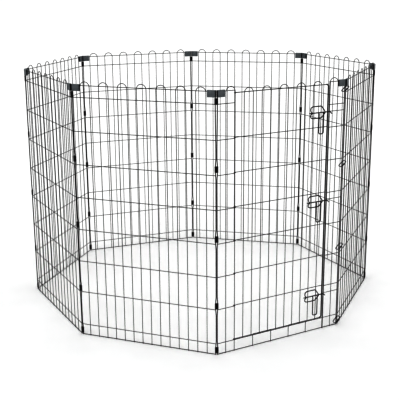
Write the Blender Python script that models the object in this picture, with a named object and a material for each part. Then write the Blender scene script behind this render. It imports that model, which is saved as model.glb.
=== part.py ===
"""A pet playpen of eight hinged wire panels, set up as a ring, with a latched wire door in one panel.

Lengths are in millimetres and angles in degrees. +Z is up, the ground is z = 0 and the door panel faces -Y.
A panel's own frame is x along the panel, y to the inside of the pen and z up, from the centre of its first post.
"""

import math

import bmesh
import bpy
from mathutils import Matrix, Vector

MM = 0.001
WELD = 1e-7

# Ring of panels. Headings run counterclockwise, each from post N to the next post of the ring.
PANEL_WIDTH = 609.6
HEADINGS = {1: 0.0, 8: 38.3, 7: 87.6, 6: 136.9, 5: 171.8, 4: 222.8}
RING_CENTRE = (360.588, 740.207)

# Wire panel
TOP_WIRE = 1065.5
ROWS = (1065.5, 1018.0, 881.0, 744.0, 606.0, 469.0, 331.0, 194.0, 47.0, 1.5)
PITCH = 40.64
UPRIGHTS = 14
WIRE = 2.3
CROWN = 15.5
UPRIGHT_OUT = 1.9
RAIL_INSET = 4.3
RAIL_SIDE = 3.0
RAIL_TOP = 1067.0
ARC_STEPS = 4

# Share of the way to parallel panels at which the fold stops, so that the snap links stay clear
FOLD_SHARE = 0.97

# Door in panel 1
LEFT_JAMB = 2
RIGHT_JAMB = 13
RIGHT_ROWS = (1065.5, 973.5, 946.4, 881.0, 744.0, 606.0, 577.4, 469.0, 331.0, 194.0, 161.6, 47.0, 1.5)
SILL_ROWS = (47.0, 1.5)
SILL_SPLIT = (84.0, 525.6)
SPLIT_GAP = 0.3
ARCH_LEGS = ((170.7, 260.1), (349.5, 438.9))
ARCH_TOP = 54.3
ARCH_OUT = 4.98
ARCH_CRANK = (47.3, 51.0)
ARCH_CORNER = 2.5
DOOR_TOP = 1056.0
DOOR_BOTTOM = 50.5
DOOR_FOOT = 49.2
DOOR_ROWS = (885.0, 748.0, 610.0, 473.0, 335.0, 198.0)
STILE = 520.3
FRAME_WIRE = 2.8
FRAME_CORNER = 9.0
CURL_RADIUS = 3.6
CURL_START = -300.0

# Latches on the door
LATCHES = (946.0, 575.0, 160.0)
BOLT_OUT = 4.95
BOLT_ENDS = (432.0, 543.0)
BOLT_TIP = (536.0, -8.0)
HANDLE_LEGS = (477.0, 500.0)
HANDLE_OUT = 9.3
HANDLE_DROP = -86.5
HANDLE_CORNER = 6.0
BRACKET_OUT = 5.05
WAIST_OUT = 8.15
LOWER_LOBE = 22.0 / 26.0

# Hinge clips and corner caps
SLEEVE_HEIGHTS = (768.0, 209.5)
SLEEVE_LENGTH = 24.0
SLEEVE_CENTRES = 8.0
SLEEVE_INNER = 2.45
SLEEVE_OUTER = 3.25
SLEEVE_END = 5.8
JAW_TIP = 2.63
JAW_ANGLE = 67.5
CAP_BOTTOM = 1044.0
CAP_TOP = 1070.5
CAP_ROOF = 1067.6
CAP_REACH = 36.0
CAP_OUTER = 3.4
CAP_INNER = 2.3

# Snap links at post 8
LINK_HEIGHTS = (1031.8, 720.0, 358.0, 21.0)
LINK_WIRE = 3.2
LINK_LENGTH = 40.8
LINK_WIDTH = 16.8
LINK_TILT = 26.0
LINK_GAP = (-10.0, -4.0)
RING_LENGTH = 12.0
RING_CENTRE_ON_LINK = -6.0
RING_INNER = 2.01
RING_OUTER = 2.7

for old in list(bpy.data.objects):
    bpy.data.objects.remove(old, do_unlink=True)

PARTS = bpy.data.collections.new("pet_playpen")
bpy.context.scene.collection.children.link(PARTS)


def turned(angle):
    """The unit vector along the ground at a heading."""
    return Vector((math.cos(math.radians(angle)), math.sin(math.radians(angle)), 0.0))


def ring_posts():
    """Post centres by number, and the heading of each panel from its post."""
    headings = dict(HEADINGS)
    posts = {1: Vector((0.0, 0.0, 0.0))}
    posts[8] = posts[1] + PANEL_WIDTH * turned(headings[1])
    for panel in (8, 7, 6, 5, 4):
        posts[panel - 1] = posts[panel] + PANEL_WIDTH * turned(headings[panel])
    chord = posts[1] - posts[3]
    rise = math.sqrt(PANEL_WIDTH**2 - chord.length**2 / 4)
    outward = Vector((-chord.y, chord.x, 0.0)).normalized()
    posts[2] = (posts[1] + posts[3]) / 2 - rise * outward
    for panel, to in ((3, 2), (2, 1)):
        step = posts[to] - posts[panel]
        headings[panel] = math.degrees(math.atan2(step.y, step.x))
    shift = Vector((RING_CENTRE[0], RING_CENTRE[1], 0.0))
    return {n: p - shift for n, p in posts.items()}, headings


POSTS, HEADING = ring_posts()


def object_of(name, data):
    obj = bpy.data.objects.new(name, data)
    PARTS.objects.link(obj)
    return obj


def solid_mesh(obj):
    """The mesh of an object with its curve or modifiers applied and its caps welded; the object is removed."""
    bpy.context.view_layer.update()
    evaluated = obj.evaluated_get(bpy.context.evaluated_depsgraph_get())
    mesh = bpy.data.meshes.new_from_object(evaluated)
    bpy.data.objects.remove(obj, do_unlink=True)
    bm = bmesh.new()
    bm.from_mesh(mesh)
    bmesh.ops.remove_doubles(bm, verts=bm.verts, dist=WELD)
    bmesh.ops.recalc_face_normals(bm, faces=bm.faces)
    bm.to_mesh(mesh)
    bm.free()
    return mesh


def curve_of(name, paths, closed):
    """A curve of straight stretches through each path's points."""
    curve = bpy.data.curves.new(name, "CURVE")
    for path in paths:
        spline = curve.splines.new("POLY")
        spline.points.add(len(path) - 1)
        for point, place in zip(spline.points, path):
            point.co = (*(Vector(place) * MM), 1.0)
        spline.use_cyclic_u = closed
    return curve


def wires(name, paths, diameter, sides=4, closed=False):
    """Bars with the section area of a round wire, one along each path; four sides stand on an edge."""
    curve = curve_of(name, paths, closed)
    curve.dimensions = "3D"
    curve.bevel_resolution = (sides - 4) // 2
    share = math.sqrt(2 * math.pi / (sides * math.sin(2 * math.pi / sides)))
    curve.bevel_depth = diameter / 2 * share * MM
    curve.use_fill_caps = not closed
    return solid_mesh(object_of(name, curve))


def plate(name, outlines, low, high):
    """A flat outline, with any holes, raised from one height to another."""
    curve = curve_of(name, [[(x, y, 0.0) for x, y in outline] for outline in outlines], True)
    curve.dimensions = "2D"
    curve.fill_mode = "BOTH"
    curve.extrude = (high - low) / 2 * MM
    mesh = solid_mesh(object_of(name, curve))
    mesh.transform(Matrix.Translation((0, 0, (low + high) / 2 * MM)))
    return mesh


def arc(centre, radius, start, end, steps):
    """Points of an arc in a plane, as (first, second) pairs."""
    angles = [math.radians(start + (end - start) * i / steps) for i in range(steps + 1)]
    return [(centre[0] + radius * math.cos(a), centre[1] + radius * math.sin(a)) for a in angles]


def row(z, start, end):
    return [(start, 0, z), (end, 0, z)]


def hairpin(first, foot, top):
    """Two uprights and the arch over them, on the outer face of the rows."""
    left, right = first * PITCH, (first + 1) * PITCH
    middle, radius = (left + right) / 2, PITCH / 2
    bend = arc((middle, top + CROWN - radius), radius, 180, 0, ARC_STEPS)
    return [(x, -UPRIGHT_OUT, z) for x, z in [(left, foot)] + bend + [(right, foot)]]


def rails(places):
    """Square side rails, from the ground up."""
    bm = bmesh.new()
    for x in places:
        size = Matrix.Diagonal((RAIL_SIDE * MM, RAIL_SIDE * MM, RAIL_TOP * MM, 1.0))
        middle = Matrix.Translation(Vector((x, 0, RAIL_TOP / 2)) * MM)
        bmesh.ops.create_cube(bm, size=1.0, matrix=middle @ size)
    mesh = bpy.data.meshes.new("rails")
    bm.to_mesh(mesh)
    bm.free()
    return mesh


def curled(z, end):
    """A row that runs from a curl round the left jamb to x = end."""
    dip = math.degrees(math.asin(UPRIGHT_OUT / CURL_RADIUS))
    turn = arc((LEFT_JAMB * PITCH, UPRIGHT_OUT), CURL_RADIUS, CURL_START, -dip, 8)
    path = [(x, -out, z) for x, out in turn[:-1]]
    return path + [(turn[-1][0], 0.0, z), (end, 0.0, z)]


def combined(name, meshes, operation="UNION"):
    """The meshes combined into one closed mesh."""
    objects = [object_of(name, mesh) for mesh in meshes]
    for other in objects[1:]:
        modifier = objects[0].modifiers.new("combine", "BOOLEAN")
        modifier.operation = operation
        modifier.solver = "EXACT"
        modifier.object = other
    mesh = solid_mesh(objects[0])
    for other in objects[1:]:
        bpy.data.objects.remove(other, do_unlink=True)
    mesh.name = name
    return mesh


def plain_panel_mesh():
    ends = (RAIL_INSET, PANEL_WIDTH - RAIL_INSET)
    rows = wires("rows", [row(z, *ends) for z in ROWS], WIRE)
    pins = wires("hairpins", [hairpin(n, 0.0, TOP_WIRE) for n in range(1, UPRIGHTS, 2)], WIRE)
    return combined("wire_panel", [rows, pins, rails(ends)])


def strip_mesh(name, first, rail_at, row_heights, jamb_side, sill_end):
    """The fixed strip on one side of the doorway."""
    paths = [row(z, rail_at, sill_end if z in SILL_ROWS else jamb_side) for z in row_heights]
    pins = wires("hairpin", [hairpin(first, 0.0, TOP_WIRE)], WIRE)
    return combined(name, [wires("rows", paths, WIRE), pins, rails([rail_at])])


def arch(left, right):
    """An inverted U on the sill that stops the door from swinging out."""
    leg = [(0.0, UPRIGHT_OUT, 0.0), (0.0, UPRIGHT_OUT, ARCH_CRANK[0]), (0.0, ARCH_OUT, ARCH_CRANK[1])]
    leg.append((ARCH_CORNER, ARCH_OUT, ARCH_TOP))
    path = [(left + x, -out, z) for x, out, z in leg]
    return path + [(right - x, -out, z) for x, out, z in reversed(leg)]


def sill_mesh():
    rows = wires("rows", [row(z, *SILL_SPLIT) for z in SILL_ROWS], WIRE)
    return combined("sill", [rows, wires("arches", [arch(*legs) for legs in ARCH_LEGS], WIRE)])


def door_mesh():
    pins = [hairpin(n, DOOR_FOOT, DOOR_TOP) for n in range(LEFT_JAMB + 1, RIGHT_JAMB, 2)]
    corner = STILE - FRAME_CORNER
    upper = arc((corner, DOOR_TOP - FRAME_CORNER), FRAME_CORNER, 90, 0, 3)
    lower = arc((corner, DOOR_BOTTOM + FRAME_CORNER), FRAME_CORNER, 0, -90, 3)
    stile = [(x, 0, z) for x, z in upper + lower]
    frame = curled(DOOR_TOP, corner)[:-1] + stile + list(reversed(curled(DOOR_BOTTOM, corner)[:-1]))
    rows = wires("rows", [curled(z, STILE) for z in DOOR_ROWS], WIRE)
    return combined("door", [wires("pins", pins, WIRE), rows, wires("frame", [frame], FRAME_WIRE)])


def bolt_mesh():
    """The sliding rod with its bent tip, and the U handle under it, from the rod's line."""
    rod = [(BOLT_ENDS[0], -BOLT_OUT, 0), (BOLT_TIP[0], -BOLT_OUT, 0), (BOLT_ENDS[1], -BOLT_OUT, BOLT_TIP[1])]
    left, right = HANDLE_LEGS
    leg = [(0.0, BOLT_OUT, 0.3), (0.0, HANDLE_OUT, -5.0), (0.0, HANDLE_OUT, HANDLE_DROP + HANDLE_CORNER)]
    leg.append((HANDLE_CORNER, HANDLE_OUT, HANDLE_DROP))
    grip = [(left + x, -out, z) for x, out, z in leg]
    grip += [(right - x, -out, z) for x, out, z in reversed(leg)]
    return combined("bolt", [wires("rod", [rod], WIRE), wires("grip", [grip], WIRE)])


def bracket_mesh():
    """The bent wire loop that carries the rod: two lobes pinched over it, and a point over its far end."""
    lobe = [(498.0, BRACKET_OUT, 18.0), (491.0, BRACKET_OUT, 26.0), (456.0, BRACKET_OUT, 26.0)]
    lobe += [(446.0, BRACKET_OUT, 19.0), (445.5, BRACKET_OUT, 9.5)]
    lower = [(x, out, -z * LOWER_LOBE) for x, out, z in reversed(lobe)]
    loop = [(510.0, WAIST_OUT, 0.0)] + lobe + [(451.0, WAIST_OUT, 0.0)] + lower
    return wires("bracket", [[(x, -out, z) for x, out, z in loop]], WIRE, closed=True)


def sleeve_mesh():
    """A clip closed round the first rail and open beyond the second, which moves along it as the post folds."""
    half, reach = SLEEVE_LENGTH / 2, SLEEVE_CENTRES / 2
    back = arc((-reach, 0), SLEEVE_OUTER, 90, 270, 8)
    slot = arc((-reach, 0), SLEEVE_INNER, 270, 90, 8)
    end = arc((reach, 0), SLEEVE_OUTER, -90, -JAW_ANGLE, 1) + [(SLEEVE_END, -JAW_TIP), (SLEEVE_END, -SLEEVE_INNER)]
    start = [(SLEEVE_END, SLEEVE_INNER), (SLEEVE_END, JAW_TIP)] + arc((reach, 0), SLEEVE_OUTER, JAW_ANGLE, 90, 1)
    return plate("sleeve", [back + end + slot + start], -half, half)


def cap_mesh():
    """One leaf of a corner cap, over the end of a panel's top wire; x runs along the panel from its post."""
    outer = arc((RAIL_INSET, 0), CAP_OUTER, 90, 270, 8) + [(CAP_REACH, -CAP_OUTER), (CAP_REACH, CAP_OUTER)]
    past = CAP_REACH + 5
    inner = arc((RAIL_INSET, 0), CAP_INNER, 90, 270, 6) + [(past, -CAP_INNER), (past, CAP_INNER)]
    body = plate("cap", [outer], CAP_BOTTOM, CAP_TOP)
    return combined("cap", [body, plate("channel", [inner], CAP_BOTTOM - 5, CAP_ROOF)], "DIFFERENCE")


def link_mesh():
    """The open oblong of a snap link, along local x, with its gap in the side at -y."""
    half, radius = (LINK_LENGTH - LINK_WIDTH) / 2, LINK_WIDTH / 2
    ends = arc((half, 0), radius, -90, 90, 6) + arc((-half, 0), radius, 90, 270, 6)
    path = [(LINK_GAP[1], -radius)] + ends + [(LINK_GAP[0], -radius)]
    return wires("link", [[(x, y, 0) for x, y in path]], LINK_WIRE, sides=6)


def ring_mesh():
    """The tube that slides along the link and closes its gap, about its own middle."""
    half = RING_LENGTH / 2
    outlines = [arc((0, 0), radius, 0, 315, 7) for radius in (RING_OUTER, RING_INNER)]
    return plate("ring", outlines, -half, half)


BODIES = {}


def body(name, pivot, heading=0.0):
    """The empty that carries one moving body, on its joint's axis."""
    empty = bpy.data.objects.new("body_" + name, None)
    empty.empty_display_size = 0.02
    PARTS.objects.link(empty)
    empty.matrix_world = at(pivot, heading)
    BODIES[name] = empty
    return empty


def at(point, heading=0.0):
    """The place of a local frame, from a point in millimetres and a heading in degrees."""
    return Matrix.Translation(Vector(point) * MM) @ Matrix.Rotation(math.radians(heading), 4, "Z")


def part(name, mesh, matrix, body_name, colour, roughness, metallic):
    """Places one part on its body, with a material of its own."""
    obj = object_of(name, mesh)
    material = bpy.data.materials.new(name)
    material.use_nodes = True
    shader = material.node_tree.nodes["Principled BSDF"]
    shader.inputs["Base Color"].default_value = (*colour, 1.0)
    shader.inputs["Roughness"].default_value = roughness
    shader.inputs["Metallic"].default_value = metallic
    if not mesh.materials:
        mesh.materials.append(material)
    obj.material_slots[0].link = "OBJECT"
    obj.material_slots[0].material = material
    obj.parent = BODIES[body_name]
    bpy.context.view_layer.update()
    obj.matrix_world = matrix
    return obj


BLACK_COAT = ((0.012, 0.012, 0.013), 0.38, 0.0)
BLACK_PLASTIC = ((0.022, 0.024, 0.026), 0.5, 0.0)
PLATED = ((0.08, 0.08, 0.085), 0.35, 0.9)


def start_rail(panel):
    return POSTS[panel] + RAIL_INSET * turned(HEADING[panel])


def end_rail(panel):
    """The rail at the far end of a panel, beside the next post of the ring."""
    return POSTS[panel] + (PANEL_WIDTH - RAIL_INSET) * turned(HEADING[panel])


def fold_axis(post):
    """The hinge that carries the next panel from the ring to the folded stack, with its rail in the clip at both."""
    turn = (180 - HEADING[post + 1] + HEADING[post]) % 360 - (360 if post % 2 else 0)
    turn *= FOLD_SHARE
    rail, carried = start_rail(post), end_rail(post + 1)
    folded = rail + Matrix.Rotation(math.radians(turn / 2), 3, "Z") @ (carried - rail)
    step = folded - carried
    across = Vector((-step.y, step.x, 0.0))
    return (carried + folded) / 2 + across / (2 * math.tan(math.radians(turn / 2)))


bpy.context.view_layer.update()
PANEL_MESH = plain_panel_mesh()
CAP_MESH = cap_mesh()
SLEEVE_MESH = sleeve_mesh()
jamb_left = LEFT_JAMB * PITCH
jamb_right = RIGHT_JAMB * PITCH

# Bodies, each on its joint's axis
body("door_panel", POSTS[1])
for k in range(1, 8):
    body(f"post_{k}", start_rail(k))
    body(f"panel_{k + 1}", fold_axis(k), HEADING[k + 1])
hinge_line = POSTS[1] + Vector((jamb_left, -UPRIGHT_OUT, 0.0))
body("door", hinge_line)
door_frame = at(POSTS[1])

# Door panel: two fixed strips and the sill between them
left_rail, right_rail = RAIL_INSET, PANEL_WIDTH - RAIL_INSET
left = strip_mesh("left", 1, left_rail, ROWS, jamb_left + 1.3, SILL_SPLIT[0] - SPLIT_GAP)
right = strip_mesh("right", RIGHT_JAMB, right_rail, RIGHT_ROWS, jamb_right - 1.3, SILL_SPLIT[1] + SPLIT_GAP)
part("door_panel_left_strip", left, door_frame, "door_panel", *BLACK_COAT)
part("door_panel_right_strip", right, door_frame, "door_panel", *BLACK_COAT)
part("door_panel_sill", sill_mesh(), door_frame, "door_panel", *BLACK_COAT)
part("door", door_mesh(), door_frame, "door", *BLACK_COAT)

# Latches
BOLT_MESH, BRACKET_MESH = bolt_mesh(), bracket_mesh()
for k, z in enumerate(LATCHES, 1):
    level = Matrix.Translation(Vector((0, 0, z)) * MM)
    part(f"latch_bracket_{k}", BRACKET_MESH, door_frame @ level, "door", *BLACK_COAT)
    body(f"latch_{k}", POSTS[1] + Vector((HANDLE_LEGS[0], -BOLT_OUT, z)))
    part(f"latch_bolt_{k}", BOLT_MESH, door_frame @ level, f"latch_{k}", *BLACK_COAT)

# Plain panels
for k in range(2, 9):
    part(f"wire_panel_{k}", PANEL_MESH, at(POSTS[k], HEADING[k]), f"panel_{k}", *BLACK_COAT)

# Corner caps: leaf a on the panel that starts at the post, leaf b on the panel that ends there
for k in range(1, 9):
    carrier = "door_panel" if k == 1 else f"panel_{k}"
    part(f"corner_cap_{k}a", CAP_MESH, at(POSTS[k], HEADING[k]), carrier, *BLACK_PLASTIC)
    other = k % 8 + 1
    carrier = "door_panel" if other == 1 else f"panel_{other}"
    part(f"corner_cap_{k}b", CAP_MESH, at(POSTS[k], HEADING[other] + 180), carrier, *BLACK_PLASTIC)

# Hinge clips, each from the first rail of a post to the second
for k in range(1, 8):
    one, two = start_rail(k), end_rail(k + 1)
    along = two - one
    facing = math.degrees(math.atan2(along.y, along.x))
    for n, z in enumerate(SLEEVE_HEIGHTS, 1):
        middle = (one + two) / 2 + Vector((0, 0, z))
        part(f"hinge_sleeve_{k}_{n}", SLEEVE_MESH, at(middle, facing), f"post_{k}", *BLACK_COAT)

# Snap links round the two rails of post 8, each with its sliding ring
one, two = end_rail(1), start_rail(8)
along = two - one
facing = math.degrees(math.atan2(along.y, along.x))
LINK_MESH, RING_MESH = link_mesh(), ring_mesh()
tilt = Matrix.Rotation(math.radians(-LINK_TILT), 4, "Y")
for k, z in enumerate(LINK_HEIGHTS, 1):
    frame = at((one + two) / 2 + Vector((0, 0, z)), facing) @ tilt
    part(f"snap_link_{k}", LINK_MESH, frame, "door_panel", *PLATED)
    spot = Matrix.Translation(Vector((RING_CENTRE_ON_LINK, -LINK_WIDTH / 2, 0)) * MM)
    turn = Matrix.Rotation(math.radians(90), 4, "Y")
    place = frame @ spot @ turn
    body(f"snap_ring_{k}", place.translation / MM)
    part(f"snap_ring_{k}", RING_MESH, place, f"snap_ring_{k}", *PLATED)

# The carried bodies hang from the ones that carry them
for k in range(1, 8):
    parent = "door_panel" if k == 1 else f"panel_{k}"
    for child in (f"post_{k}", f"panel_{k + 1}"):
        BODIES[child].parent = BODIES[parent]
        BODIES[child].matrix_parent_inverse = BODIES[parent].matrix_world.inverted()
for child, parent in [("door", "door_panel")] + [(f"latch_{k}", "door") for k in (1, 2, 3)]:
    BODIES[child].parent = BODIES[parent]
    BODIES[child].matrix_parent_inverse = BODIES[parent].matrix_world.inverted()
for k in range(1, 5):
    BODIES[f"snap_ring_{k}"].parent = BODIES["door_panel"]
    BODIES[f"snap_ring_{k}"].matrix_parent_inverse = BODIES["door_panel"].matrix_world.inverted()
bpy.context.view_layer.update()
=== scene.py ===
"""The looks of the pet playpen: coated wire, welds, moulded caps, crimped sleeves, latches and snap links.

Lengths are in millimetres until a mesh is made, and metres after that. A panel's own frame is x along the
panel from its first post, y to the inside of the pen and z up. Outward distances, such as UPRIGHT_OUT, are
measured from the middle of the rows towards the outside of the pen.
"""

import math

import bmesh
import bpy
from mathutils import Matrix, Vector


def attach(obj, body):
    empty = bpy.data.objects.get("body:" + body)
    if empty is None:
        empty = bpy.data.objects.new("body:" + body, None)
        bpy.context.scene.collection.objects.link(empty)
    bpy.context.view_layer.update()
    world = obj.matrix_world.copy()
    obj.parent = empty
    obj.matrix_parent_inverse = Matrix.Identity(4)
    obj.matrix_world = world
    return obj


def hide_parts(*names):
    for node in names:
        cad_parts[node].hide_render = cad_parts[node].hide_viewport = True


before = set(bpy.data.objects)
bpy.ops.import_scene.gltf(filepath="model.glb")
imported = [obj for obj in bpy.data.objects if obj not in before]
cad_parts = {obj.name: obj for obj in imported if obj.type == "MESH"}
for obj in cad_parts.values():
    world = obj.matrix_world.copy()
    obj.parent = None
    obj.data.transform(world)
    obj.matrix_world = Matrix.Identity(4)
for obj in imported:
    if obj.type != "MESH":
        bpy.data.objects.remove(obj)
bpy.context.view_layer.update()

MM = 0.001

# Meshes: the share of a side that a corner's arc may take, and the sides of thin, thick and loose wires
MERGE_DISTANCE = 1e-6
SHARP_ANGLE = 40.0
CORNER_SHARE = 0.45
EDGE_SEGMENTS = 3
WIRE_SIDES = 10
THICK_SIDES = 12
ROUND_SIDES = 14

# Ring of panels, as in the part: panel N leaves post N at its heading, counterclockwise from x
PANELS = 8
PANEL_WIDTH = 609.6
HEADINGS = {1: 0.0, 8: 38.3, 7: 87.6, 6: 136.9, 5: 171.8, 4: 222.8}
RING_CENTRE = (360.588, 740.207)

# Wire panel
TOP_WIRE = 1065.5
ROWS = (1065.5, 1018.0, 881.0, 744.0, 606.0, 469.0, 331.0, 194.0, 47.0, 1.5)
PITCH = 40.64
UPRIGHTS = 14
WIRE = 2.3
CROWN = 15.5
UPRIGHT_OUT = 1.9
RAIL_INSET = 4.3
RAIL_WIRE = 3.4
RAIL_TOP = 1067.0
RAIL_STEPS = 107
RAIL_WELD_OUT = 0.42 * RAIL_WIRE
ROW_PAST_JAMB = 1.2

# Rails on a hinged post lean together below the first height, but not above the second or at a sleeve
RAIL_BOW = 2.2
BOW_HEIGHTS = (830.0, 1005.0)
BOW_EASE = 30.0

# Welds: radius in the panel's plane and half depth; each is turned from the one before
SPOT_WELD = (1.55, 0.75)
BUTT_WELD = (1.5, 1.35)
STILE_WELD = (1.4, 1.25)
HANDLE_WELD = (1.9, 1.2)
BRACKET_WELD = (1.7, 0.9)
WELD_TURN = 47
QUARTER = 90

# Door panel and door
LEFT_JAMB = 2
RIGHT_JAMB = 13
RIGHT_ROWS = (1065.5, 973.5, 946.4, 881.0, 744.0, 606.0, 577.4, 469.0, 331.0, 194.0, 161.6, 47.0, 1.5)
SILL_ROWS = (47.0, 1.5)
ARCH_LEGS = ((170.7, 260.1), (349.5, 438.9))
ARCH_CRANK = (46.8, 51.0)
ARCH_TOP = 54.3
ARCH_OUT = 4.98
ARCH_BEND = 3.0
JAMB_WIRE = 4.4
DOOR_TOP = 1056.0
DOOR_BOTTOM = 50.5
DOOR_FOOT = 49.2
DOOR_ROWS = (885.0, 748.0, 610.0, 473.0, 335.0, 198.0)
STILE = 522.3
FRAME_WIRE = 2.8
STILE_WIRE = 5.0
WELD_BEFORE_STILE = 1.2
FRAME_CORNER = 9.0
CURL_RADIUS = 3.6
CURL_START = -300.0
CURL_LEAD = ((0.3, 0.12), (1.2, 0.0))

# Latches
LATCHES = (946.0, 575.0, 160.0)
LATCH_SHIFT = (-4.0, -4.0, -8.0)
BOLT_WIRE = 3.9
LATCH_WIRE = 3.8
BOLT_OUT = 4.95
ROD_ENDS = (432.0, 535.0)
ROD_TIP = (543.0, -8.5)
ROD_BEND = 5.0
HANDLE_OUT = 9.1
HANDLE_LEGS = (477.0, 500.0)
HANDLE_ROOT = (1.2, 0.6)
HANDLE_CRANK = -4.5
HANDLE_DROP = -86.5
HANDLE_BEND = 9.0
HANDLE_WELD_OUT = BOLT_OUT + 1.3
HANDLE_WELD_UP = 0.2
BRACKET_OUT = 4.15
BRACKET_TOP = 26.0
BRACKET_FOOT = -22.0
BRACKET_LOBE = ((498.0, 18.0), (491.0, BRACKET_TOP), (449.0, BRACKET_TOP), (438.5, 21.0), (438.5, 8.0))
BRACKET_BEND = 8.0
BRACKET_COLUMNS = (11 * PITCH + 1.5, 12 * PITCH)
BRACKET_WELD_OUT = UPRIGHT_OUT + 1.1
WAIST_OUT = 7.9
WAISTS = (444.0, 510.0)

# Hinge sleeves and corner caps; a rounded edge has its width and the least angle it turns through
SLEEVE_HEIGHTS = (1028.5, 768.0, 488.5, 209.5, 19.5)
CAD_SLEEVES = {768.0: 1, 209.5: 2}
SLEEVE_LENGTH = 24.0
SLEEVE_REACH = 4.0
SLEEVE_INNER = 2.15
SLEEVE_WALL = 0.85
SLEEVE_PINCH = 1.1
SLEEVE_EDGE = (0.35, 60.0)
DENT_STEPS = 6
CAP_BOTTOM = 1044.0
CAP_TOP = 1070.5
CAP_ROOF = 1067.6
CAP_REACH = 36.0
CAP_OUTER = 3.4
CAP_INNER = 2.3
CAP_LIP = 0.35
CAP_END_LIP = 3.0
CAP_FOOT_LIP = 2.6
CAP_FOOT_START = RAIL_INSET + 1.0
CAP_LIP_DROP = 0.2
CUT_PAST_END = 14.0
CUT_BELOW = 5.0
CAP_EDGE = (0.5, 50.0)
# How far from the post the painted seam shade on a cap leaf's hinge end reaches
CAP_SEAM = 4.6

# Snap links
LINK_HEIGHTS = (1031.8, 720.0, 358.0, 21.0)
LINK_WIRE = 3.2
LINK_LENGTH = 40.8
LINK_WIDTH = 16.8
LINK_TILT = 26.0
LINK_GAP = (-10.0, -4.0)
RING_LENGTH = 12.0
RING_MIDDLE = -6.0
RING_BORE = 1.85
RING_OUTER = 2.65
RING_CHAMFER = (0.25, 0.3)
RING_GROOVES = (-3.4, 0.0, 3.4)
GROOVE_DEPTH = 0.3
GROOVE_HALF = (0.9, 1.2)
RING_SIDES = 36

# Camera, in metres and degrees, measured from post 1
CAMERA_FROM_POST = (-1.5883, -2.6906, 1.5052)
CAMERA_HEADING = 29.39
CAMERA_PITCH = -15.323
CAMERA_ROLL = -0.4168
CAMERA_LENS = 75.89
SENSOR_WIDTH = 36.0

# Studio, in metres and degrees: a light's name, the way it shines, its spread and its strength
LIGHTS = (("key", (0.5, 0.6, -1.0), 50.0, 0.45), ("back", (-0.3, -0.8, -1.0), 60.0, 0.21))
FLOOR_HALF = 60.0
FLOOR_DROP = 0.0005

PARTS = bpy.data.collections.new("pet_playpen")
bpy.context.scene.collection.children.link(PARTS)


def turned(angle):
    """The unit vector along the ground at a heading."""
    return Vector((math.cos(math.radians(angle)), math.sin(math.radians(angle)), 0.0))


def ring_posts():
    """Post centres by number, and the heading of each panel from its post."""
    headings = dict(HEADINGS)
    posts = {1: Vector((0.0, 0.0, 0.0))}
    posts[8] = posts[1] + PANEL_WIDTH * turned(headings[1])
    for panel in (8, 7, 6, 5, 4):
        posts[panel - 1] = posts[panel] + PANEL_WIDTH * turned(headings[panel])
    chord = posts[1] - posts[3]
    rise = math.sqrt(PANEL_WIDTH**2 - chord.length**2 / 4)
    outward = Vector((-chord.y, chord.x, 0.0)).normalized()
    posts[2] = (posts[1] + posts[3]) / 2 - rise * outward
    for panel, to in ((3, 2), (2, 1)):
        step = posts[to] - posts[panel]
        headings[panel] = math.degrees(math.atan2(step.y, step.x))
    shift = Vector((RING_CENTRE[0], RING_CENTRE[1], 0.0))
    return {n: p - shift for n, p in posts.items()}, headings


POSTS, HEADING = ring_posts()


def at(point, heading=0.0):
    """The place of a local frame, from a point in millimetres and a heading in degrees."""
    return Matrix.Translation(Vector(point) * MM) @ Matrix.Rotation(math.radians(heading), 4, "Z")


def start_rail(panel):
    """The foot of a panel's rail on its first post."""
    return POSTS[panel] + RAIL_INSET * turned(HEADING[panel])


def end_rail(panel):
    """The foot of a panel's rail on its last post."""
    return POSTS[panel] + (PANEL_WIDTH - RAIL_INSET) * turned(HEADING[panel])


# ---------------------------------------------------------------- materials


def node(tree, kind, **settings):
    made = tree.nodes.new(kind)
    for key, value in settings.items():
        setattr(made, key, value)
    return made


def noise(tree, coordinates, scale, detail=3.0, roughness=0.5):
    made = node(tree, "ShaderNodeTexNoise")
    made.inputs["Scale"].default_value = scale
    made.inputs["Detail"].default_value = detail
    made.inputs["Roughness"].default_value = roughness
    tree.links.new(coordinates, made.inputs["Vector"])
    return made.outputs["Fac"]


def ramp(tree, value, stops):
    """A colour ramp through (position, colour) stops."""
    made = node(tree, "ShaderNodeValToRGB")
    band = made.color_ramp
    while len(band.elements) < len(stops):
        band.elements.new(0.5)
    for element, (place, colour) in zip(band.elements, stops):
        element.position = place
        element.color = (*colour, 1.0)
    tree.links.new(value, made.inputs["Fac"])
    return made.outputs["Color"]


def ranged(tree, value, low, high):
    made = node(tree, "ShaderNodeMapRange")
    made.inputs["To Min"].default_value = low
    made.inputs["To Max"].default_value = high
    tree.links.new(value, made.inputs["Value"])
    return made.outputs["Result"]


def bumped(tree, height, strength, distance, under=None):
    """A bump from a height, on top of another bump if one is given."""
    made = node(tree, "ShaderNodeBump")
    made.inputs["Strength"].default_value = strength
    made.inputs["Distance"].default_value = distance
    tree.links.new(height, made.inputs["Height"])
    if under is not None:
        tree.links.new(under, made.inputs["Normal"])
    return made.outputs["Normal"]


def surface(name, metallic=0.0, specular=0.5):
    """A new material, its node tree, its shader and object coordinates."""
    material = bpy.data.materials.new(name)
    material.use_nodes = True
    tree = material.node_tree
    shader = tree.nodes["Principled BSDF"]
    shader.inputs["Metallic"].default_value = metallic
    shader.inputs["Specular IOR Level"].default_value = specular
    return material, tree, shader, node(tree, "ShaderNodeTexCoord").outputs["Object"]


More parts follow.
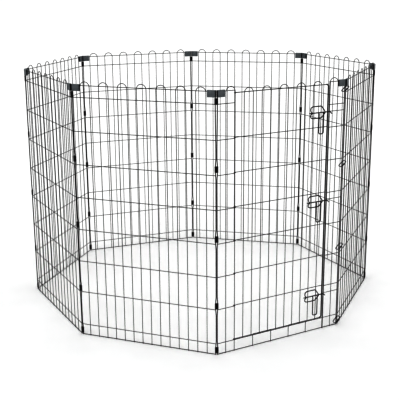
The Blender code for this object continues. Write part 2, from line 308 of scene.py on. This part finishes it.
def coated_wire():
    """Satin black electro-coat: orange peel, thin and thick patches and a little dust."""
    material, tree, shader, place = surface("black_ecoat", specular=0.35)
    shades = ((0.25, (0.0065, 0.0065, 0.0072)), (0.6, (0.012, 0.012, 0.013)), (0.9, (0.026, 0.025, 0.024)))
    tree.links.new(ramp(tree, noise(tree, place, 22.0, 4.0), shades), shader.inputs["Base Color"])
    tree.links.new(ranged(tree, noise(tree, place, 140.0, 4.0, 0.6), 0.24, 0.5), shader.inputs["Roughness"])
    peel = bumped(tree, noise(tree, place, 1400.0, 2.0), 0.18, 0.00006)
    runs = bumped(tree, noise(tree, place, 260.0, 2.0), 0.25, 0.00012, peel)
    tree.links.new(runs, shader.inputs["Normal"])
    return material


def weld_coat():
    """The same coat over a rough weld nugget, a little thinner and greyer."""
    material, tree, shader, place = surface("weld_ecoat", specular=0.4)
    shades = ((0.3, (0.009, 0.009, 0.0095)), (0.75, (0.034, 0.032, 0.030)))
    tree.links.new(ramp(tree, noise(tree, place, 900.0, 3.0), shades), shader.inputs["Base Color"])
    tree.links.new(ranged(tree, noise(tree, place, 500.0), 0.42, 0.7), shader.inputs["Roughness"])
    tree.links.new(bumped(tree, noise(tree, place, 1800.0, 4.0), 0.5, 0.00015), shader.inputs["Normal"])
    return material


def moulded_plastic():
    """Dark grey plastic with a fine spark-eroded grain and faint flow marks."""
    material, tree, shader, place = surface("moulded_plastic", specular=0.45)
    shades = ((0.3, (0.165, 0.180, 0.190)), (0.7, (0.220, 0.238, 0.248)))
    tree.links.new(ramp(tree, noise(tree, place, 70.0, 5.0), shades), shader.inputs["Base Color"])
    tree.links.new(ranged(tree, noise(tree, place, 300.0), 0.42, 0.58), shader.inputs["Roughness"])
    grain = bumped(tree, noise(tree, place, 2600.0, 3.0, 0.7), 0.35, 0.00012)
    tree.links.new(bumped(tree, noise(tree, place, 45.0), 0.15, 0.0003, grain), shader.inputs["Normal"])
    return material


def painted_seam_shade():
    """The same plastic, near black and rougher, painted on a leaf's round hinge end as shade in the seam
    between two leaves.
    """
    material, tree, shader, place = surface("cap_seam_painted_shade", specular=0.3)
    shades = ((0.3, (0.004, 0.004, 0.005)), (0.8, (0.016, 0.017, 0.018)))
    tree.links.new(ramp(tree, noise(tree, place, 180.0, 4.0), shades), shader.inputs["Base Color"])
    tree.links.new(ranged(tree, noise(tree, place, 420.0), 0.5, 0.7), shader.inputs["Roughness"])
    tree.links.new(bumped(tree, noise(tree, place, 2200.0, 3.0), 0.3, 0.0001), shader.inputs["Normal"])
    return material


def crimped_steel():
    """Pressed steel strip under thick black coat, with die marks along its length."""
    material, tree, shader, place = surface("crimped_steel", specular=0.4)
    shades = ((0.3, (0.004, 0.004, 0.0045)), (0.8, (0.014, 0.014, 0.015)))
    tree.links.new(ramp(tree, noise(tree, place, 120.0, 4.0), shades), shader.inputs["Base Color"])
    tree.links.new(ranged(tree, noise(tree, place, 220.0), 0.25, 0.42), shader.inputs["Roughness"])
    marks = node(tree, "ShaderNodeTexWave", wave_type="BANDS", bands_direction="Z")
    marks.inputs["Scale"].default_value = 90.0
    marks.inputs["Distortion"].default_value = 4.0
    tree.links.new(place, marks.inputs["Vector"])
    tree.links.new(bumped(tree, marks.outputs["Fac"], 0.12, 0.0001), shader.inputs["Normal"])
    return material


def plated_steel():
    """Dark plated steel, rubbed brighter where rails and fingers touch it."""
    material, tree, shader, place = surface("plated_steel", metallic=0.85)
    shades = ((0.35, (0.030, 0.030, 0.033)), (0.62, (0.060, 0.060, 0.064)), (0.9, (0.16, 0.16, 0.165)))
    tree.links.new(ramp(tree, noise(tree, place, 160.0, 5.0, 0.6), shades), shader.inputs["Base Color"])
    tree.links.new(ranged(tree, noise(tree, place, 420.0), 0.24, 0.46), shader.inputs["Roughness"])
    tree.links.new(bumped(tree, noise(tree, place, 1500.0), 0.2, 0.0001), shader.inputs["Normal"])
    return material


COAT = coated_wire()
WELD = weld_coat()
PLASTIC = moulded_plastic()
SEAM_SHADE = painted_seam_shade()
CRIMP = crimped_steel()
PLATED = plated_steel()


# ---------------------------------------------------------------- mesh tools


def linked(name, data):
    obj = bpy.data.objects.new(name, data)
    PARTS.objects.link(obj)
    return obj


def applied(obj):
    """An object's mesh with its curve or modifiers applied and its ends merged; the object is removed."""
    bpy.context.view_layer.update()
    evaluated = obj.evaluated_get(bpy.context.evaluated_depsgraph_get())
    mesh = bpy.data.meshes.new_from_object(evaluated)
    bpy.data.objects.remove(obj, do_unlink=True)
    bm = bmesh.new()
    bm.from_mesh(mesh)
    bmesh.ops.remove_doubles(bm, verts=bm.verts, dist=MERGE_DISTANCE)
    bmesh.ops.recalc_face_normals(bm, faces=bm.faces)
    bm.to_mesh(mesh)
    bm.free()
    return mesh


def curve_of(name, paths, closed):
    curve = bpy.data.curves.new(name, "CURVE")
    for path in paths:
        spline = curve.splines.new("POLY")
        spline.points.add(len(path) - 1)
        for point, place in zip(spline.points, path):
            point.co = (*(Vector(place) * MM), 1.0)
        spline.use_cyclic_u = closed
    return curve


def wires(paths, diameter, closed=False, sides=WIRE_SIDES):
    """Round wires, one along each path."""
    curve = curve_of("wires", paths, closed)
    curve.dimensions = "3D"
    curve.bevel_depth = diameter / 2 * MM
    curve.bevel_resolution = (sides - 4) // 2
    curve.use_fill_caps = not closed
    return applied(linked("wires", curve))


def soften(obj, width, angle):
    """Rounds the edges of an object that turn through more than an angle."""
    bevel = obj.modifiers.new("edges", "BEVEL")
    bevel.width = width * MM
    bevel.segments = EDGE_SEGMENTS
    bevel.limit_method = "ANGLE"
    bevel.angle_limit = math.radians(angle)


def plate(outlines, low, high):
    """A flat outline, with any holes, raised from one height to another."""
    curve = curve_of("plate", [[(x, y, 0.0) for x, y in outline] for outline in outlines], True)
    curve.dimensions = "2D"
    curve.fill_mode = "BOTH"
    curve.extrude = (high - low) / 2 * MM
    mesh = applied(linked("plate", curve))
    mesh.transform(Matrix.Translation((0, 0, (low + high) / 2 * MM)))
    return mesh


def joined(name, groups):
    """One mesh from groups of (meshes, material), each group in its own slot."""
    bm = bmesh.new()
    result = bpy.data.meshes.new(name)
    for slot, (meshes, material) in enumerate(groups):
        result.materials.append(material)
        for mesh in meshes:
            first = len(bm.faces)
            bm.from_mesh(mesh)
            bm.faces.ensure_lookup_table()
            for face in bm.faces[first:]:
                face.material_index = slot
    bm.to_mesh(result)
    bm.free()
    result.shade_smooth()
    result.set_sharp_from_angle(angle=math.radians(SHARP_ANGLE))
    return result


def piece(name, mesh, place, body, slot, *replaced):
    """A piece in its place, on its body, standing for the CAD nodes that it replaces."""
    obj = linked(name, mesh)
    obj.matrix_world = place
    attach(obj, body)
    if replaced:
        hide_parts(*replaced)
    return obj


def arc(centre, radius, start, end, steps):
    """Points of an arc in a plane, as (first, second) pairs."""
    angles = [math.radians(start + (end - start) * i / steps) for i in range(steps + 1)]
    return [(centre[0] + radius * math.cos(a), centre[1] + radius * math.sin(a)) for a in angles]


def rounded(points, radius, steps=6, closed=False):
    """The path with each corner turned in an arc of about this radius."""
    points = [Vector(p) for p in points]
    count = len(points)
    path = []
    for i, here in enumerate(points):
        if not closed and i in (0, count - 1):
            path.append(here)
            continue
        before, after = points[i - 1], points[(i + 1) % count]
        reach = min(radius, (before - here).length * CORNER_SHARE, (after - here).length * CORNER_SHARE)
        one = here + (before - here).normalized() * reach
        two = here + (after - here).normalized() * reach
        for k in range(steps + 1):
            t = k / steps
            path.append(one * (1 - t) ** 2 + here * (2 * t * (1 - t)) + two * t**2)
    return path


# ---------------------------------------------------------------- weld nuggets


def nuggets(spots, weld=SPOT_WELD):
    """Weld nuggets, flattened towards the panel, each turned a little."""
    radius, flat = weld
    bm = bmesh.new()
    for n, spot in enumerate(spots):
        turn = Matrix.Rotation(math.radians(WELD_TURN * n % QUARTER), 4, "Y")
        size = Matrix.Diagonal((radius * MM, flat * MM, radius * MM, 1.0))
        place = Matrix.Translation(Vector(spot) * MM) @ turn @ size
        bmesh.ops.create_icosphere(bm, subdivisions=2, radius=1.0, matrix=place)
    mesh = bpy.data.meshes.new("nuggets")
    bm.to_mesh(mesh)
    bm.free()
    return mesh


def crossings(columns, rows):
    """Welds where uprights cross rows."""
    return [(x, -UPRIGHT_OUT / 2, z) for x in columns for z in rows]


def rail_welds(x, side, lean, rows):
    """Welds where rows end on one side of a rail."""
    return [(x + lean * bow(z) + side * RAIL_WELD_OUT, 0.0, z) for z in rows]


# ---------------------------------------------------------------- wire panels


def eased(value):
    value = min(max(value, 0.0), 1.0)
    return value * value * (3.0 - 2.0 * value)


def bow(z):
    """How far a rail leans towards its neighbour at a height."""
    low, high = BOW_HEIGHTS
    lean = RAIL_BOW * eased((high - z) / (high - low))
    for middle in SLEEVE_HEIGHTS:
        near = 1.0 - eased((abs(z - middle) - SLEEVE_LENGTH / 2) / BOW_EASE)
        lean = min(lean, RAIL_BOW * (1.0 - near))
    return lean


def row(z, start, end, lean_start=1, lean_end=1):
    """A row; its ends follow bowed rails, except an end with a lean of 0."""
    return [(start - lean_start * bow(z), 0, z), (end + lean_end * bow(z), 0, z)]


def hairpin(first, foot, top):
    """Two uprights and the round arch over them, on the outer face of the rows."""
    left, right = first * PITCH, (first + 1) * PITCH
    middle, radius = (left + right) / 2, PITCH / 2
    bend = arc((middle, top + CROWN - radius), radius, 180, 0, 18)
    return [(x, -UPRIGHT_OUT, z) for x, z in [(left, foot)] + bend + [(right, foot)]]


def rail(x, lean):
    """A side rail that bows along the panel in the direction of its lean."""
    heights = [RAIL_TOP * i / RAIL_STEPS for i in range(RAIL_STEPS + 1)]
    return [(x + lean * bow(z), 0.0, z) for z in heights]


def panel_mesh(lean):
    """A plain panel; its first rail leans (1) towards a hinge neighbour or (0) stands straight."""
    left, right = RAIL_INSET, PANEL_WIDTH - RAIL_INSET
    columns = [n * PITCH for n in range(1, UPRIGHTS + 1)]
    grid = wires([row(z, left, right, lean) for z in ROWS], WIRE)
    pins = wires([hairpin(n, 0.0, TOP_WIRE) for n in range(1, UPRIGHTS, 2)], WIRE)
    rails = wires([rail(left, -lean), rail(right, 1)], RAIL_WIRE, sides=THICK_SIDES)
    spots = nuggets(crossings(columns, ROWS))
    butts = nuggets(rail_welds(left, 1, -lean, ROWS) + rail_welds(right, -1, 1, ROWS), BUTT_WELD)
    return joined("panel", [([grid, pins, rails], COAT), ([spots, butts], WELD)])


def make_panels():
    hinged, end = panel_mesh(1), panel_mesh(0)
    for k in range(2, PANELS + 1):
        mesh = end if k == PANELS else hinged
        piece(f"panel_{k}_wires", mesh, at(POSTS[k], HEADING[k]), f"panel_{k}", "wire", f"wire_panel_{k}")


# ---------------------------------------------------------------- door panel and door


def arch(left, right):
    """An inverted U on the sill, cranked out in front of the door's lower wire."""
    low, high = ARCH_CRANK
    leg = [(UPRIGHT_OUT, 0.0), (UPRIGHT_OUT, low), (ARCH_OUT, high), (ARCH_OUT, ARCH_TOP)]
    path = [(left, -out, z) for out, z in leg] + [(right, -out, z) for out, z in reversed(leg)]
    return rounded(path, ARCH_BEND)


def make_door_panel():
    left, right = RAIL_INSET, PANEL_WIDTH - RAIL_INSET
    jambs = LEFT_JAMB * PITCH, RIGHT_JAMB * PITCH
    left_rows = [z for z in ROWS if z not in SILL_ROWS]
    right_rows = [z for z in RIGHT_ROWS if z not in SILL_ROWS]
    paths = [row(z, left, jambs[0] + ROW_PAST_JAMB, 1, 0) for z in left_rows]
    paths += [row(z, jambs[1] - ROW_PAST_JAMB, right, 0, 0) for z in right_rows]
    paths += [row(z, left, right, 1, 0) for z in SILL_ROWS]
    arches = [arch(*legs) for legs in ARCH_LEGS]
    pins = [hairpin(1, 0.0, TOP_WIRE), hairpin(RIGHT_JAMB, 0.0, TOP_WIRE)]
    bars = [wires(paths, WIRE), wires(pins, WIRE), wires(arches, WIRE)]
    jamb = [(jambs[1], -UPRIGHT_OUT, z) for z in (0.0, TOP_WIRE)]
    bars.append(wires([jamb], JAMB_WIRE))
    bars.append(wires([rail(left, -1), rail(right, 0)], RAIL_WIRE, sides=THICK_SIDES))
    spots = crossings((PITCH, jambs[0]), left_rows) + crossings((jambs[1], UPRIGHTS * PITCH), right_rows)
    spots += crossings((PITCH, jambs[0], jambs[1], UPRIGHTS * PITCH), SILL_ROWS)
    spots += crossings([x for legs in ARCH_LEGS for x in legs], SILL_ROWS)
    butts = rail_welds(left, 1, -1, ROWS) + rail_welds(right, -1, 0, RIGHT_ROWS)
    welds = [nuggets(spots), nuggets(butts, BUTT_WELD)]
    mesh = joined("door_panel", [(bars, COAT), (welds, WELD)])
    nodes = ("door_panel_left_strip", "door_panel_right_strip", "door_panel_sill")
    piece("door_panel_wires", mesh, at(POSTS[1]), "door_panel", "wire", *nodes)


def curled(z, end):
    """A row that runs from a curl round the left jamb to x = end."""
    dip = math.degrees(math.asin(UPRIGHT_OUT / CURL_RADIUS))
    turn = arc((LEFT_JAMB * PITCH, UPRIGHT_OUT), CURL_RADIUS, CURL_START, -dip, 24)
    path = [(x, -out, z) for x, out in turn]
    lead = turn[-1][0]
    return path[:-1] + [(lead + along, -out, z) for along, out in CURL_LEAD] + [(end, 0.0, z)]


def make_door():
    columns = [n * PITCH for n in range(LEFT_JAMB + 1, RIGHT_JAMB)]
    pins = [hairpin(n, DOOR_FOOT, DOOR_TOP) for n in range(LEFT_JAMB + 1, RIGHT_JAMB, 2)]
    corner = STILE - FRAME_CORNER
    upper = arc((corner, DOOR_TOP - FRAME_CORNER), FRAME_CORNER, 90, 0, 10)
    lower = arc((corner, DOOR_BOTTOM + FRAME_CORNER), FRAME_CORNER, 0, -90, 10)
    stile = [(x, 0, z) for x, z in upper + lower]
    outline = curled(DOOR_TOP, corner)[:-1] + stile + list(reversed(curled(DOOR_BOTTOM, corner)[:-1]))
    bars = [wires(pins, WIRE), wires([curled(z, STILE) for z in DOOR_ROWS], WIRE)]
    bars.append(wires([outline], FRAME_WIRE, sides=THICK_SIDES))
    bars.append(wires([stile], STILE_WIRE, sides=THICK_SIDES))
    spots = crossings(columns, DOOR_ROWS + (DOOR_TOP, DOOR_BOTTOM))
    butts = [(STILE - WELD_BEFORE_STILE, 0.0, z) for z in DOOR_ROWS]
    mesh = joined("door", [(bars, COAT), ([nuggets(spots), nuggets(butts, STILE_WELD)], WELD)])
    piece("door_wires", mesh, at(POSTS[1]), "door", "wire", "door")


# ---------------------------------------------------------------- latches


def bolt_mesh():
    """The rod with its bent tip, and the U handle welded under it."""
    left, right = HANDLE_LEGS
    past, above = HANDLE_ROOT
    corners = [(x, 0.0) for x in ROD_ENDS] + [ROD_TIP]
    rod = rounded([(x, -BOLT_OUT, z) for x, z in corners], ROD_BEND)
    leg = [(BOLT_OUT + past, above), (HANDLE_OUT, HANDLE_CRANK), (HANDLE_OUT, HANDLE_DROP)]
    grip = [(left, -out, z) for out, z in leg] + [(right, -out, z) for out, z in reversed(leg)]
    bars = [wires([rod], BOLT_WIRE, sides=ROUND_SIDES)]
    bars.append(wires([rounded(grip, HANDLE_BEND, 10)], LATCH_WIRE, sides=THICK_SIDES))
    welds = nuggets([(x, -HANDLE_WELD_OUT, HANDLE_WELD_UP) for x in HANDLE_LEGS], HANDLE_WELD)
    return joined("bolt", [(bars, COAT), ([welds], WELD)])


def bracket_mesh():
    """The bent wire loop that carries the rod: an upper and a lower lobe that meet over it at both ends."""
    lower = [(x, z * BRACKET_FOOT / BRACKET_TOP) for x, z in reversed(BRACKET_LOBE)]
    lobes = [[(x, -BRACKET_OUT, z) for x, z in lobe] for lobe in (BRACKET_LOBE, lower)]
    far, near = [[(x, -WAIST_OUT, 0.0)] for x in WAISTS]
    path = rounded(near + lobes[0] + far + lobes[1], BRACKET_BEND, 8, closed=True)
    feet = [(x, -BRACKET_WELD_OUT, z) for x in BRACKET_COLUMNS for z in (BRACKET_TOP, BRACKET_FOOT)]
    bars = wires([path], LATCH_WIRE, closed=True, sides=THICK_SIDES)
    return joined("bracket", [([bars], COAT), ([nuggets(feet, BRACKET_WELD)], WELD)])


def make_latches():
    bolt, bracket = bolt_mesh(), bracket_mesh()
    for k, z in enumerate(LATCHES, 1):
        place = at(POSTS[1] + Vector((LATCH_SHIFT[k - 1], 0, z)))
        piece(f"latch_{k}_bracket_wire", bracket, place, "door", "wire", f"latch_bracket_{k}")
        piece(f"latch_{k}_bolt_and_handle", bolt, place, f"latch_{k}", "wire", f"latch_bolt_{k}")


# ---------------------------------------------------------------- hinge sleeves


def pinched_outline(radius):
    """A long outline round both rails, pressed in between them."""
    right = arc((SLEEVE_REACH, 0), radius, -90, 90, 12)
    left = arc((-SLEEVE_REACH, 0), radius, 90, 270, 12)
    across = [SLEEVE_REACH * (1 - i / DENT_STEPS) for i in range(1, 2 * DENT_STEPS)]
    half_wave = 2 * SLEEVE_REACH
    dent = [radius - SLEEVE_PINCH * math.cos(math.pi * x / half_wave) ** 2 for x in across]
    top = list(zip(across, dent))
    bottom = [(-x, -y) for x, y in top]
    return right + top + left + bottom


def sleeve_mesh():
    half = SLEEVE_LENGTH / 2
    outer = pinched_outline(SLEEVE_INNER + SLEEVE_WALL)
    inner = pinched_outline(SLEEVE_INNER)
    obj = linked("sleeve", plate([outer, inner], -half, half))
    soften(obj, *SLEEVE_EDGE)
    return joined("sleeve", [([applied(obj)], CRIMP)])


def make_sleeves():
    mesh = sleeve_mesh()
    for k in range(1, PANELS):
        one, two = start_rail(k), end_rail(k + 1)
        facing = math.degrees(math.atan2(two.y - one.y, two.x - one.x))
        for n, z in enumerate(SLEEVE_HEIGHTS, 1):
            place = at((one + two) / 2 + Vector((0, 0, z)), facing)
            nodes = [f"hinge_sleeve_{k}_{CAD_SLEEVES[z]}"] if z in CAD_SLEEVES else []
            piece(f"post_{k}_sleeve_{n}", mesh, place, f"post_{k}", "wire", *nodes)


# ---------------------------------------------------------------- corner caps


def box_mesh(low, high):
    bm = bmesh.new()
    size = Vector(high) - Vector(low)
    middle = (Vector(high) + Vector(low)) / 2
    scale = Matrix.Diagonal((*(size * MM), 1.0))
    bmesh.ops.create_cube(bm, size=1.0, matrix=Matrix.Translation(middle * MM) @ scale)
    mesh = bpy.data.meshes.new("box")
    bm.to_mesh(mesh)
    bm.free()
    return mesh


def cap_mesh():
    """One leaf of a corner cap: a channel with a lip at its end and foot, and a round hinge end painted near
    black as shade in the seam between leaves.
    """
    past = CAP_REACH + CUT_PAST_END
    outer = arc((RAIL_INSET, 0), CAP_OUTER, 90, 270, 16) + [(CAP_REACH, -CAP_OUTER), (CAP_REACH, CAP_OUTER)]
    inner = arc((RAIL_INSET, 0), CAP_INNER, 90, 270, 12) + [(past, -CAP_INNER), (past, CAP_INNER)]
    obj = linked("cap", plate([outer], CAP_BOTTOM, CAP_TOP))
    lip = CAP_OUTER + CAP_LIP
    foot = CAP_BOTTOM + CAP_FOOT_LIP
    extras = [box_mesh((CAP_REACH - CAP_END_LIP, -lip, CAP_BOTTOM), (CAP_REACH, lip, CAP_TOP - CAP_LIP_DROP))]
    extras.append(box_mesh((CAP_FOOT_START, -lip, CAP_BOTTOM), (CAP_REACH, lip, foot)))
    helpers = []
    for mesh, operation in [(m, "UNION") for m in extras] + [(None, "DIFFERENCE")]:
        cutter = linked("cutter", mesh or plate([inner], CAP_BOTTOM - CUT_BELOW, CAP_ROOF))
        cut = obj.modifiers.new("cut", "BOOLEAN")
        cut.operation = operation
        cut.solver = "EXACT"
        cut.object = cutter
        helpers.append(cutter)
    soften(obj, *CAP_EDGE)
    obj.modifiers.new("faces", "TRIANGULATE")
    mesh = applied(obj)
    for helper in helpers:
        bpy.data.objects.remove(helper, do_unlink=True)
    cap = joined("cap", [([mesh], PLASTIC)])
    # Faces at the round hinge end, short of CAP_SEAM, take the near-black painted shade of the seam between
    # leaves
    cap.materials.append(SEAM_SHADE)
    for face in cap.polygons:
        face.use_smooth = False
        if max(cap.vertices[i].co.x for i in face.vertices) < CAP_SEAM * MM:
            face.material_index = 1
    return cap


def make_caps():
    mesh = cap_mesh()
    for k in range(1, PANELS + 1):
        other = k % PANELS + 1
        for side, panel, turn in (("a", k, 0), ("b", other, 180)):
            body = "door_panel" if panel == 1 else f"panel_{panel}"
            place = at(POSTS[k], HEADING[panel] + turn)
            piece(f"post_{k}_cap_{side}", mesh, place, body, "corner_cap", f"corner_cap_{k}{side}")


# ---------------------------------------------------------------- snap links


def link_mesh():
    """The open oblong of a snap link, with round wire ends at its gap."""
    half, radius = (LINK_LENGTH - LINK_WIDTH) / 2, LINK_WIDTH / 2
    ends = arc((half, 0), radius, -90, 90, 16) + arc((-half, 0), radius, 90, 270, 16)
    path = [(LINK_GAP[1], -radius)] + ends + [(LINK_GAP[0], -radius)]
    tips = nuggets([(x, -radius, 0) for x in LINK_GAP], (LINK_WIRE / 2, LINK_WIRE / 2))
    bars = wires([[(x, y, 0) for x, y in path]], LINK_WIRE, sides=ROUND_SIDES)
    return joined("link", [([bars, tips], PLATED)])


def ring_mesh():
    """The sliding tube, round local z: a turned profile with three grooves for grip."""
    half, wide = RING_LENGTH / 2, RING_OUTER
    across, along = RING_CHAMFER
    face, floor = wide - across, wide - GROOVE_DEPTH
    near, far = GROOVE_HALF
    profile = [(RING_BORE, -half), (face, -half), (wide, -half + along)]
    for z in RING_GROOVES:
        profile += [(wide, z - far), (floor, z - near), (floor, z + near), (wide, z + far)]
    profile += [(wide, half - along), (face, half), (RING_BORE, half)]
    bm = bmesh.new()
    angles = [2 * math.pi * i / RING_SIDES for i in range(RING_SIDES)]
    loops = []
    for r, z in profile:
        loops.append([bm.verts.new(Vector((r * math.cos(a), r * math.sin(a), z)) * MM) for a in angles])
    for one, two in zip(loops, loops[1:] + loops[:1]):
        for i in range(RING_SIDES):
            j = (i + 1) % RING_SIDES
            bm.faces.new((one[i], one[j], two[j], two[i]))
    bmesh.ops.recalc_face_normals(bm, faces=bm.faces)
    mesh = bpy.data.meshes.new("ring")
    bm.to_mesh(mesh)
    bm.free()
    return joined("ring", [([mesh], PLATED)])


def make_links():
    link, ring = link_mesh(), ring_mesh()
    one, two = end_rail(1), start_rail(PANELS)
    facing = math.degrees(math.atan2(two.y - one.y, two.x - one.x))
    tilt = Matrix.Rotation(math.radians(-LINK_TILT), 4, "Y")
    spot = Matrix.Translation(Vector((RING_MIDDLE, -LINK_WIDTH / 2, 0)) * MM)
    along = Matrix.Rotation(math.radians(90), 4, "Y")
    for k, z in enumerate(LINK_HEIGHTS, 1):
        place = at((one + two) / 2 + Vector((0, 0, z)), facing) @ tilt
        piece(f"link_{k}_loop", link, place, "door_panel", "snap_link", f"snap_link_{k}")
        own = f"snap_ring_{k}"
        piece(f"link_{k}_ring", ring, place @ spot @ along, own, "snap_link", own)


make_panels()
make_door_panel()
make_door()
make_latches()
make_sleeves()
make_caps()
make_links()


# ---------------------------------------------------------------- studio


def make_floor():
    bm = bmesh.new()
    bmesh.ops.create_grid(bm, x_segments=1, y_segments=1, size=FLOOR_HALF)
    mesh = bpy.data.meshes.new("floor")
    bm.to_mesh(mesh)
    bm.free()
    material, tree, shader, place = surface("floor_white", specular=0.1)
    shades = ((0.3, (0.9, 0.9, 0.9)), (0.7, (0.93, 0.93, 0.93)))
    tree.links.new(ramp(tree, noise(tree, place, 3.0), shades), shader.inputs["Base Color"])
    shader.inputs["Roughness"].default_value = 0.9
    mesh.materials.append(material)
    floor = bpy.data.objects.new("floor", mesh)
    bpy.context.scene.collection.objects.link(floor)
    floor.location.z = -FLOOR_DROP


def make_light(name, towards, spread, strength):
    """A far, wide and even studio light that shines along a direction."""
    data = bpy.data.lights.new(name, "SUN")
    data.angle = math.radians(spread)
    data.energy = strength
    light = bpy.data.objects.new(name, data)
    bpy.context.scene.collection.objects.link(light)
    light.rotation_euler = Vector(towards).to_track_quat("-Z", "Y").to_euler()


def make_world():
    """An even white surround, and a display without a film curve."""
    world = bpy.data.worlds.new("studio")
    world.use_nodes = True
    world.node_tree.nodes["Background"].inputs["Color"].default_value = (1.0, 1.0, 1.0, 1.0)
    world.node_tree.nodes["Background"].inputs["Strength"].default_value = 1.0
    bpy.context.scene.world = world
    # Without a curve, a wire thinner than a pixel takes the mean of its own tone and the white behind it
    bpy.context.scene.view_settings.view_transform = "Raw"


def make_camera():
    """The camera, turned from north by its heading, then pitched and rolled."""
    heading, pitch = math.radians(CAMERA_HEADING), math.radians(CAMERA_PITCH)
    roll = math.radians(CAMERA_ROLL)
    flat = math.cos(pitch)
    ahead = Vector((math.sin(heading) * flat, math.cos(heading) * flat, math.sin(pitch)))
    level = Vector((math.cos(heading), -math.sin(heading), 0.0))
    rise = level.cross(ahead)
    right = level * math.cos(roll) + rise * math.sin(roll)
    up = rise * math.cos(roll) - level * math.sin(roll)
    data = bpy.data.cameras.new("camera")
    data.lens = CAMERA_LENS
    data.sensor_width = SENSOR_WIDTH
    data.clip_end = FLOOR_HALF
    camera = bpy.data.objects.new("camera", data)
    bpy.context.scene.collection.objects.link(camera)
    place = POSTS[1] * MM + Vector(CAMERA_FROM_POST)
    turn = Matrix((right, up, -ahead)).transposed().to_4x4()
    camera.matrix_world = Matrix.Translation(place) @ turn
    bpy.context.scene.camera = camera


make_floor()
make_world()
for light in LIGHTS:
    make_light(*light)
make_camera()
